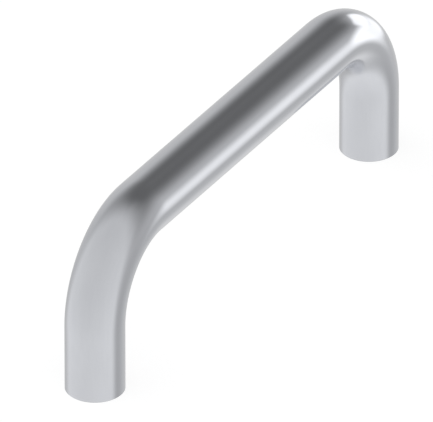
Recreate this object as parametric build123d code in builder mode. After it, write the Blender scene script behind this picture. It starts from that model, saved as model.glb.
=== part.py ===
# Weld-on pull handle: one round steel bar, bent at right angles in two places, with two flat feet.
# The origin lies midway between the feet, in the plane that they are welded to.
# +X runs along the grip and +Z from the feet up to the grip.

from build123d import *

import os

# Driving dimensions, in millimetres
bar_diameter = 12.0  # round bar, the same section from foot to foot
centre_distance = 110.0  # between the axes of the two legs
overall_height = 38.0  # from the weld plane to the top of the grip
bend_radius = 18.0  # of each bend, to the bar's centreline
edge_break = 0.2  # deburred edge round each square-cut foot

# Places of the bar's centreline
bar_radius = bar_diameter / 2
leg_x = centre_distance / 2
grip_z = overall_height - bar_radius

# The bar, bent in one plane: leg, bend, grip, bend, leg
with BuildPart() as handle:
    with BuildLine(Plane.XZ) as centreline:
        FilletPolyline(
            (-leg_x, 0),
            (-leg_x, grip_z),
            (leg_x, grip_z),
            (leg_x, 0),
            radius=bend_radius,
        )
    with BuildSketch(Plane(origin=centreline.line @ 0, z_dir=centreline.line % 0)):
        Circle(bar_radius)
    sweep(path=centreline.line)

    # Both feet are cut square to the legs, and only their sharp edge is taken off
    foot_edges = handle.edges().group_by(Axis.Z)[0]
    chamfer(foot_edges, length=edge_break)

handle.part.label = "handle"

os.makedirs("parts", exist_ok=True)
export_step(handle.part, "parts/handle.step")
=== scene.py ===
from math import cos, hypot, pi, radians, sin, tan
from typing import NamedTuple

import bmesh
import bpy
from mathutils import Matrix, Vector


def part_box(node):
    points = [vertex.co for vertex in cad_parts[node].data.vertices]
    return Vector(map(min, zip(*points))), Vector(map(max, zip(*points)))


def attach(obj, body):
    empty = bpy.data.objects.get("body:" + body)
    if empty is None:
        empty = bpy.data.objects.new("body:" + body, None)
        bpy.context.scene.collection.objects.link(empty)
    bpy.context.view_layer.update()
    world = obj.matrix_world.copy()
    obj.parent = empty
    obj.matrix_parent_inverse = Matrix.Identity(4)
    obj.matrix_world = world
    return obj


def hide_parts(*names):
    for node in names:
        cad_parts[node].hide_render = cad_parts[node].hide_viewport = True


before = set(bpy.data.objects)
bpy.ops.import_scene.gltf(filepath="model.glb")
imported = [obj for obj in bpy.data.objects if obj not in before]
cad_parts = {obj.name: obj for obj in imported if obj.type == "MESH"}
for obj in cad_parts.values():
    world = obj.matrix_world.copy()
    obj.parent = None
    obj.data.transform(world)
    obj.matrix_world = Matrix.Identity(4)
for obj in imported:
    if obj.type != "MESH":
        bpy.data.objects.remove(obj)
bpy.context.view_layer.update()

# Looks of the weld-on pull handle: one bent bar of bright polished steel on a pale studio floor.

MM = 0.001
MICRON = 0.001 * MM
WHITE = (1.0, 1.0, 1.0, 1.0)

# The bar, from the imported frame. The bend radius and the edge break are those of the CAD model.
lowest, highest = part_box("handle")
BAR_RADIUS = (highest.y - lowest.y) / 2
LEG_X = highest.x - BAR_RADIUS
GRIP_Z = highest.z - BAR_RADIUS
BEND_RADIUS = 18.0 * MM
EDGE_BREAK = 0.2 * MM
EDGE_ROUNDING = 0.05 * MM  # at both rims of the edge break
RIM_TURN = pi / 4  # the surface turns by this at each of those rims

# Lengths along the centreline: the leg, the bend, and on to the middle of the grip
LEG = GRIP_Z - BEND_RADIUS
BEND = BEND_RADIUS * pi / 2
HALF_GRIP = LEG_X - BEND_RADIUS
HALF_LENGTH = LEG + BEND + HALF_GRIP
LENGTH = 2 * HALF_LENGTH

# Mesh steps
AROUND = 144
RING_SPACING = 0.65 * MM
ROUNDING_STEPS = 4
FACE_RINGS = (0.3, 0.6, 0.85, 0.94)  # shares of the bar's radius, on the flat of a foot
FLAT = 1e-7  # a point this near the weld plane lies in it
SAWN = 1  # material slot of the foot faces. The rest of the bar has slot 0.

# Texture map: the bar's skin unrolled over most of the square, and the two foot faces below it
SKIN_LOW, SKIN_HIGH = (0.01, 0.12), (0.99, 0.99)
FOOT_MIDDLES = {-1: (0.25, 0.055), 1: (0.75, 0.055)}  # left foot and right foot
FOOT_REACH = (0.2, 0.045)  # half of the width and height of a foot face on the map


def station(along):
    """Centre of the bar, its outward direction and its turn from the leg, at a length along it."""
    side = -1 if along < HALF_LENGTH else 1
    from_foot = min(along, LENGTH - along)
    if from_foot <= LEG:
        turn, x, z = 0.0, LEG_X, from_foot
    elif from_foot < LEG + BEND:
        turn = (from_foot - LEG) / BEND_RADIUS
        x = HALF_GRIP + BEND_RADIUS * cos(turn)
        z = LEG + BEND_RADIUS * sin(turn)
    else:
        turn, x, z = pi / 2, HALF_LENGTH - from_foot, GRIP_Z
    return Vector((side * x, 0, z)), Vector((side * cos(turn), 0, sin(turn))), turn


def span_steps(start, end):
    """Evenly spaced lengths from start up to but not including end."""
    count = max(1, round((end - start) / RING_SPACING))
    return [start + (end - start) * k / count for k in range(count)]


def foot_profile():
    """(radius, length along the bar) of the rings of a foot, from its flat face to the full bar."""
    tangent = EDGE_ROUNDING * tan(RIM_TURN / 2)  # from a rim to the start of its rounding
    rings = [(BAR_RADIUS * share, 0.0) for share in FACE_RINGS]
    face_rim = (BAR_RADIUS - EDGE_BREAK - tangent, EDGE_ROUNDING)
    side_rim = (BAR_RADIUS - EDGE_ROUNDING, EDGE_BREAK + tangent)
    for start, (radius, along) in ((-2 * RIM_TURN, face_rim), (-RIM_TURN, side_rim)):
        for k in range(ROUNDING_STEPS + 1):
            angle = start + RIM_TURN * k / ROUNDING_STEPS
            rings.append((radius + EDGE_ROUNDING * cos(angle), along + EDGE_ROUNDING * sin(angle)))
    return rings


def bar_rings():
    """(radius, length along the bar) of every ring, from the left foot's face to the right's."""
    foot = foot_profile()
    first = foot[-1][1]
    stops = [first, LEG, LEG + BEND, LENGTH - LEG - BEND, LENGTH - LEG, LENGTH - first]
    shaft = [s for start, end in zip(stops, stops[1:]) for s in span_steps(start, end)][1:]
    other_foot = [(radius, LENGTH - along) for radius, along in reversed(foot)]
    return foot + [(BAR_RADIUS, s) for s in shaft] + other_foot


def surface_shares(profile):
    """How far over the surface each ring lies, as a share of the way from first to last."""
    reached = [0.0]
    for (radius, along), (next_radius, next_along) in zip(profile, profile[1:]):
        reached.append(reached[-1] + hypot(next_radius - radius, next_along - along))
    return [distance / reached[-1] for distance in reached]


def skin_place(share_along, share_around):
    """Place on the texture map of a point of the bar's skin."""
    return [
        low + (high - low) * share
        for low, high, share in zip(SKIN_LOW, SKIN_HIGH, (share_along, share_around))
    ]


def foot_place(point):
    """Place on the texture map of a point of a foot face."""
    side = -1 if point.x < 0 else 1
    offset = (point.x - side * LEG_X, point.y)
    return [m + r * o / BAR_RADIUS for m, r, o in zip(FOOT_MIDDLES[side], FOOT_REACH, offset)]


def add_rings(bm, profile, unbent, strain):
    """The points of every ring, each with its place on the unbent bar and its strain."""
    rings = []
    for radius, along in profile:
        centre, outward, turn = station(along)
        ring = []
        for k in range(AROUND):
            angle = 2 * pi * k / AROUND
            out, across = radius * cos(angle), radius * sin(angle)
            vert = bm.verts.new(centre + outward * out + Vector((0, across, 0)))
            vert[unbent] = Vector((along, out, across)) / MM
            vert[strain] = out / BEND_RADIUS * sin(2 * turn)
            ring.append(vert)
        rings.append(ring)
    return rings


def add_skin(bm, rings, shares, uv):
    """The faces between the rings, with their places on the texture map."""
    for r, (ring, following) in enumerate(zip(rings, rings[1:])):
        for k in range(AROUND):
            n = (k + 1) % AROUND
            face = bm.faces.new((ring[k], ring[n], following[n], following[k]))
            corners = ((r, k), (r, k + 1), (r + 1, k + 1), (r + 1, k))
            for loop, (row, column) in zip(face.loops, corners):
                loop[uv].uv = skin_place(shares[row], column / AROUND)


def mark_feet(bm, uv):
    """Gives the faces in the weld plane the sawn steel and their own places on the map."""
    for face in bm.faces:
        if all(abs(vert.co.z) < FLAT for vert in face.verts):
            face.material_index = SAWN
            for loop in face.loops:
                loop[uv].uv = foot_place(loop.vert.co)


def make_bar():
    """The bent bar as one mesh, which keeps where each point lay before the bar was bent."""
    bm = bmesh.new()
    unbent = bm.verts.layers.float_vector.new("unbent")  # along, outward and across, in millimetres
    strain = bm.verts.layers.float.new("strain")  # over 0 where the bend stretched the skin
    uv = bm.loops.layers.uv.new("OFBake")
    profile = bar_rings()
    rings = add_rings(bm, profile, unbent, strain)
    add_skin(bm, rings, surface_shares(profile), uv)
    for innermost in (rings[0], rings[-1]):
        bm.faces.new(innermost)
    for face in bm.faces:
        face.smooth = True
    mark_feet(bm, uv)
    bmesh.ops.recalc_face_normals(bm, faces=bm.faces)
    mesh = bpy.data.meshes.new("bent_bar")
    bm.to_mesh(mesh)
    bm.free()
    piece = bpy.data.objects.new("bent_bar", mesh)
    bpy.context.scene.collection.objects.link(piece)
    return piece


def node(tree, kind, inputs=None, **settings):
    """A new node with its settings, and its inputs given as values or as sockets to link from."""
    made = tree.nodes.new(kind)
    for name, value in settings.items():
        setattr(made, name, value)
    for name, value in (inputs or {}).items():
        if isinstance(value, bpy.types.NodeSocket):
            tree.links.new(value, made.inputs[name])
        else:
            made.inputs[name].default_value = value
    return made


def calc(tree, operation, *values):
    """The output of a Math node."""
    return node(tree, "ShaderNodeMath", dict(enumerate(values)), operation=operation).outputs[0]


def total(tree, *parts):
    """The sum of values, each given with its factor."""
    result = 0.0
    for value, factor in parts:
        result = calc(tree, "MULTIPLY_ADD", value, factor, result)
    return result


def between(tree, value, source, target):
    """value mapped from one range to another, and held at both ends."""
    return node(
        tree,
        "ShaderNodeMapRange",
        {
            "Value": value,
            "From Min": source[0],
            "From Max": source[1],
            "To Min": target[0],
            "To Max": target[1],
        },
    ).outputs["Result"]


def mix(tree, share, first, second, **settings):
    """One value that turns into another as share goes from 0 to 1, or one colour into another."""
    ends = {"Factor": share, "A": first, "B": second}
    return node(tree, "ShaderNodeMix", ends, **settings).outputs["Result"]


def new_material(name):
    """An empty material and its node tree."""
    material = bpy.data.materials.new(name)
    material.use_nodes = True
    material.node_tree.nodes.clear()
    return material, material.node_tree


def attribute(tree, name, output):
    """One of the values that make_bar gives to each point."""
    return node(tree, "ShaderNodeAttribute", attribute_name=name).outputs[output]


class Pattern(NamedTuple):
    """Noise with grains of about 1 / scale millimetres, longer by stretch."""

    stretch: tuple  # along, outward and across
    scale: float
    detail: float
    gain: float = 0.5  # weight of each finer layer of noise against the one before it


def noise(tree, place, pattern):
    """A pattern's noise, from 0 to 1, at a place on the unbent bar."""
    shrunk = node(
        tree, "ShaderNodeVectorMath", {0: place, 1: pattern.stretch}, operation="DIVIDE"
    ).outputs[0]
    return node(
        tree,
        "ShaderNodeTexNoise",
        {
            "Vector": shrunk,
            "Scale": pattern.scale,
            "Detail": pattern.detail,
            "Roughness": pattern.gain,
        },
    ).outputs["Fac"]


def metal(tree, colour, roughness, relief):
    """Bare metal, with its relief in microns."""
    bump = node(tree, "ShaderNodeBump", {"Distance": MICRON, "Height": relief}).outputs[0]
    surface = node(
        tree,
        "ShaderNodeBsdfPrincipled",
        {"Base Color": colour, "Metallic": 1.0, "Roughness": roughness, "Normal": bump},
    )
    node(tree, "ShaderNodeOutputMaterial", {"Surface": surface.outputs[0]})


NOISE_MIDDLE = (0.3, 0.7)  # the range that holds nearly all of a noise's values

# Marks of the polish, most of them longer along the bar
PATCHES = Pattern((2, 1, 1), scale=0.22, detail=2.0)
GRAIN = Pattern((20, 1, 1), scale=5.0, detail=4.0, gain=0.6)
HAIRLINES = Pattern((50, 1, 1), scale=11.0, detail=1.0)
WAVES = Pattern((2.5, 1, 1), scale=0.35, detail=1.0)
PEEL = Pattern((1, 1, 1), scale=3.0, detail=2.0)  # orange peel
HAIRLINE_START = (0.68, 0.74)  # a hairline fades in between these values of its noise

# Colour of the polish, from its brightest places to its dullest, and what makes a place dull
POLISH_BRIGHT, POLISH_DULL = (0.622, 0.634, 0.665, 1.0), (0.590, 0.601, 0.633, 1.0)
PATCHES_SHARE, GRAIN_SHARE = 0.6, 0.4

# Roughness of the patches, from the brightest to the dullest, and what the other marks add to it
PATCHES_ROUGHNESS = (0.10, 0.125)
GRAIN_ROUGHNESS = 0.008  # up or down
HAIRLINE_ROUGHNESS = 0.04
SQUEEZED_ROUGHNESS = 0.35  # times the strain, on the inside of the bends

# Height of the marks, in microns
GRAIN_HEIGHT = 0.25
WAVES_HEIGHT = 6.0
PEEL_HEIGHT = 2.0  # times the strain, on the outside of the bends
HAIRLINE_HEIGHT = -0.15


def polished_steel():
    """Bright bar: a faint lengthwise grain, soft patches, hairlines, and skin drawn by the bends."""
    material, tree = new_material("polished_steel")
    place = attribute(tree, "unbent", "Vector")
    strain = attribute(tree, "strain", "Fac")
    stretched = calc(tree, "MAXIMUM", strain, 0.0)
    squeezed = calc(tree, "MAXIMUM", calc(tree, "MULTIPLY", strain, -1.0), 0.0)

    patches = noise(tree, place, PATCHES)
    grain = noise(tree, place, GRAIN)
    hairline = between(tree, noise(tree, place, HAIRLINES), HAIRLINE_START, (0, 1))
    waves = noise(tree, place, WAVES)
    peel = noise(tree, place, PEEL)

    dullness = total(
        tree,
        (between(tree, patches, NOISE_MIDDLE, (0, 1)), PATCHES_SHARE),
        (between(tree, grain, NOISE_MIDDLE, (0, 1)), GRAIN_SHARE),
    )
    colour = mix(tree, dullness, POLISH_BRIGHT, POLISH_DULL, data_type="RGBA")
    roughness = total(
        tree,
        (between(tree, patches, NOISE_MIDDLE, PATCHES_ROUGHNESS), 1.0),
        (between(tree, grain, NOISE_MIDDLE, (-1, 1)), GRAIN_ROUGHNESS),
        (hairline, HAIRLINE_ROUGHNESS),
        (squeezed, SQUEEZED_ROUGHNESS),
    )
    relief = total(
        tree,
        (grain, GRAIN_HEIGHT),
        (waves, WAVES_HEIGHT),
        (calc(tree, "MULTIPLY", peel, stretched), PEEL_HEIGHT),
        (hairline, HAIRLINE_HEIGHT),
    )
    metal(tree, colour, roughness, relief)
    return material


# Saw marks, which run straight across a foot, and their shares of the depth
FINE_MARKS = Pattern((1, 14, 1), scale=3.5, detail=4.0, gain=0.7)
BROAD_MARKS = Pattern((1, 40, 1), scale=0.9, detail=1.0)
FINE_SHARE, BROAD_SHARE = 0.6, 0.4
SAW_MARK_DEPTH = 30.0  # microns

# Colour and roughness of the sawn faces, from the top of a saw mark to its bottom, where the darker
# colour is painted shade
SAWN_BRIGHT, SAWN_SHADED_BOTTOM = (0.58, 0.585, 0.60, 1.0), (0.38, 0.385, 0.40, 1.0)
SAWN_ROUGHNESS = (0.30, 0.48)


def sawn_steel():
    """The flat faces of the two feet, with fine saw marks on broad ones and painted shade in their
    bottoms.
    """
    material, tree = new_material("sawn_steel")
    place = attribute(tree, "unbent", "Vector")
    fine = noise(tree, place, FINE_MARKS)
    broad = noise(tree, place, BROAD_MARKS)
    depth = total(tree, (fine, FINE_SHARE), (broad, BROAD_SHARE))
    dullness = between(tree, depth, NOISE_MIDDLE, (0, 1))
    # painted shade: the colour darkens towards the bottom of each saw mark
    colour = mix(tree, dullness, SAWN_BRIGHT, SAWN_SHADED_BOTTOM, data_type="RGBA")
    roughness = between(tree, depth, NOISE_MIDDLE, SAWN_ROUGHNESS)
    metal(tree, colour, roughness, calc(tree, "MULTIPLY", depth, -SAW_MARK_DEPTH))
    return material


class Panel(NamedTuple):
    """A soft-edged panel on the studio's dome, with its angles in degrees."""

    middle: tuple  # bearing, clockwise from +Y seen from above, and height over the horizon
    half_size: tuple  # half of its width and height
    tilt: float  # turned about its middle
    edge: float  # share of its size over which it fades
    corner: float  # 2 for an ellipse, and more for squarer corners
    level: float  # brightness


# Studio: a pale dome round the handle, with a broad shade on it at the camera's side. All values of
# the dome and its panels but SHADE_POWER were fitted by a program to the bar's brightness in the
# photo: by least squares, and from rounded values on in round steps.
DOME_LEVEL = 0.931  # at the horizon
DOME_FALL = -0.159  # change from the horizon to straight up
SHADE_MIDDLE = (267, -29)  # bearing and height, in degrees
SHADE_DEPTH = 0.082  # how much darker the dome is there
SHADE_POWER = 2.0  # more gathers the shade round its middle

# Panels on the dome, which make the bands that the photo shows on the bar. Later ones lie on top.
PANELS = {
    "back_wall": Panel((85.5, 6.5), (83.5, 47), tilt=-5, edge=0.15, corner=2.3, level=0.70),
    "floor_shade": Panel((44, -51), (33, 17.5), tilt=-42, edge=0.80, corner=1.9, level=0.59),
    "dark_column": Panel((143.5, -24.5), (16, 45), tilt=-11.5, edge=0.94, corner=2.3, level=0.59),
    "ceiling_left": Panel((75, 39), (16.5, 24.5), tilt=-11, edge=0.98, corner=1.55, level=0.20),
    "ceiling_right": Panel((103.5, 38.5), (12, 21.5), tilt=31, edge=0.98, corner=2.5, level=0.21),
    "dark_ceiling": Panel((98, 56), (46.5, 20.5), tilt=-13, edge=0.84, corner=2, level=0.18),
    "softbox_upper": Panel((92.5, 8), (14.5, 10), tilt=2, edge=0.23, corner=3, level=1.59),
    "softbox_side": Panel((115, -6.5), (15.5, 13), tilt=-19, edge=0.60, corner=2.15, level=1.85),
    "softbox_lower": Panel((98.5, -9), (18, 7), tilt=0, edge=0.44, corner=7, level=1.53),
}


def heading(bearing, height):
    """The direction with this bearing and height, in radians."""
    return Vector((sin(bearing) * cos(height), cos(bearing) * cos(height), sin(height)))


def dot(tree, direction, axis):
    """The dot product of a direction and a fixed axis."""
    both = {0: direction, 1: axis}
    return node(tree, "ShaderNodeVectorMath", both, operation="DOT_PRODUCT").outputs["Value"]


def dome_light(tree, direction):
    """Light of the dome without its panels, in a direction from the handle."""
    upward = node(tree, "ShaderNodeSeparateXYZ", {"Vector": direction}).outputs["Z"]
    light = calc(tree, "MULTIPLY_ADD", upward, DOME_FALL, DOME_LEVEL)
    shade_axis = heading(*map(radians, SHADE_MIDDLE))
    nearness = calc(tree, "MAXIMUM", dot(tree, direction, shade_axis), 0.0)
    shade = calc(tree, "POWER", nearness, SHADE_POWER)
    return calc(tree, "MULTIPLY_ADD", shade, -SHADE_DEPTH, light)


def panel_mask(tree, direction, panel):
    """1 inside a panel and 0 outside it, in a direction from the handle."""
    bearing, height = map(radians, panel.middle)
    tilt = radians(panel.tilt)
    facing = heading(bearing, height)
    east = Vector((cos(bearing), -sin(bearing), 0))
    up = east.cross(facing)
    width_axis = east * cos(tilt) + up * sin(tilt)
    height_axis = up * cos(tilt) - east * sin(tilt)
    aside = dot(tree, direction, width_axis)
    sideways = calc(tree, "ARCTAN2", aside, dot(tree, direction, facing))
    upwards = calc(tree, "ARCSINE", dot(tree, direction, height_axis))
    powers = []
    for angle, half in zip((sideways, upwards), panel.half_size):
        share = calc(tree, "ABSOLUTE", calc(tree, "DIVIDE", angle, radians(half)))
        powers.append(calc(tree, "POWER", share, panel.corner))
    reach = calc(tree, "POWER", calc(tree, "ADD", *powers), 1 / panel.corner)
    return node(
        tree,
        "ShaderNodeMapRange",
        {"Value": reach, "From Min": 1 + panel.edge, "From Max": 1 - panel.edge},
        interpolation_type="SMOOTHSTEP",
    ).outputs["Result"]


def make_studio():
    """World light. Camera rays see plain white in its place."""
    world = bpy.data.worlds.new("studio")
    bpy.context.scene.world = world
    world.use_nodes = True
    tree = world.node_tree
    tree.nodes.clear()
    direction = node(tree, "ShaderNodeTexCoord").outputs["Generated"]
    light = dome_light(tree, direction)
    for name, panel in PANELS.items():
        light = mix(tree, panel_mask(tree, direction, panel), light, panel.level, label=name)
    seen = node(tree, "ShaderNodeLightPath").outputs["Is Camera Ray"]
    shown = mix(tree, seen, light, 1.0)
    background = node(tree, "ShaderNodeBackground", {"Strength": shown, "Color": WHITE})
    node(tree, "ShaderNodeOutputWorld", {"Surface": background.outputs[0]})


FLOOR_SIZE = 6.0  # metres
FLOOR_COLOUR = (0.35, 0.35, 0.35, 1.0)
FLOOR_LIFT = 0.80  # added for the camera, so that the unshaded floor is white
FLOOR_FADE = (0.25, 0.6)  # the floor turns plain white between these distances from the handle


def floor_material():
    """Paint that the camera sees as white except in shadow, and plain white far from the handle."""
    material, tree = new_material("pale_floor")
    seen = node(tree, "ShaderNodeLightPath").outputs["Is Camera Ray"]
    paint = node(tree, "ShaderNodeBsdfDiffuse", {"Color": FLOOR_COLOUR})
    lift = node(tree, "ShaderNodeEmission", {"Strength": calc(tree, "MULTIPLY", seen, FLOOR_LIFT)})
    near = node(tree, "ShaderNodeAddShader", {0: paint.outputs[0], 1: lift.outputs[0]})
    far = node(tree, "ShaderNodeEmission", {"Strength": 1.0})
    place = node(tree, "ShaderNodeTexCoord").outputs["Object"]
    distance = node(tree, "ShaderNodeVectorMath", {0: place}, operation="LENGTH").outputs["Value"]
    fade = between(tree, distance, FLOOR_FADE, (0, 1))
    mixed = node(tree, "ShaderNodeMixShader", {0: fade, 1: near.outputs[0], 2: far.outputs[0]})
    node(tree, "ShaderNodeOutputMaterial", {"Surface": mixed.outputs[0]})
    return material


def make_floor():
    """A pale floor at the weld plane, which keeps the handle's soft shadow."""
    bpy.ops.mesh.primitive_plane_add(size=FLOOR_SIZE, location=(0, 0, 0))
    floor = bpy.context.object
    floor.name = "floor"
    floor.data.materials.append(floor_material())
    floor.visible_glossy = False


# Photo's camera: nearly parallel, from the left and above. The picture is 433 x 422 pixels. The
# camera's angles, scale and centre were fitted by a program to the handle's outline in the photo.
PICTURE_WIDTH, PICTURE_HEIGHT = 433, 422
CAMERA_AZIMUTH, CAMERA_ELEVATION = radians(-60.26), radians(29.86)
CAMERA_DISTANCE = 3.6  # metres from the point the camera aims at
CAMERA_CLIP = (0.1, 50.0)
PIXELS_PER_METRE = 5036.0  # at the handle
CENTRE_PIXEL = (233.1, 196.1)  # where the photo shows the point half way up between the legs
SENSOR_WIDTH = 36.0  # millimetres, Blender's unit for it


def make_camera():
    """The photo's view. The camera stands aside by what puts the handle where the photo has it."""
    looking = Vector((
        -sin(CAMERA_AZIMUTH) * cos(CAMERA_ELEVATION),
        cos(CAMERA_AZIMUTH) * cos(CAMERA_ELEVATION),
        -sin(CAMERA_ELEVATION),
    ))
    right = looking.cross(Vector((0, 0, 1))).normalized()
    up = right.cross(looking)
    aside = (CENTRE_PIXEL[0] - (PICTURE_WIDTH - 1) / 2) / PIXELS_PER_METRE
    above = ((PICTURE_HEIGHT - 1) / 2 - CENTRE_PIXEL[1]) / PIXELS_PER_METRE
    aim = Vector((0, 0, GRIP_Z / 2)) - right * aside - up * above
    turned = Matrix((right, up, -looking)).transposed().to_4x4()
    data = bpy.data.cameras.new("camera")
    data.sensor_width = SENSOR_WIDTH
    data.lens = SENSOR_WIDTH * CAMERA_DISTANCE * PIXELS_PER_METRE / PICTURE_WIDTH
    data.clip_start, data.clip_end = CAMERA_CLIP
    camera = bpy.data.objects.new("camera", data)
    camera.matrix_world = Matrix.Translation(aim - looking * CAMERA_DISTANCE) @ turned
    bpy.context.scene.collection.objects.link(camera)
    bpy.context.scene.camera = camera


bar = make_bar()
bar.data.materials.append(polished_steel())
bar.data.materials.append(sawn_steel())
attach(bar, "root")
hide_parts("handle")

make_studio()
make_floor()
make_camera()
bpy.context.scene.view_settings.view_transform = "Standard"
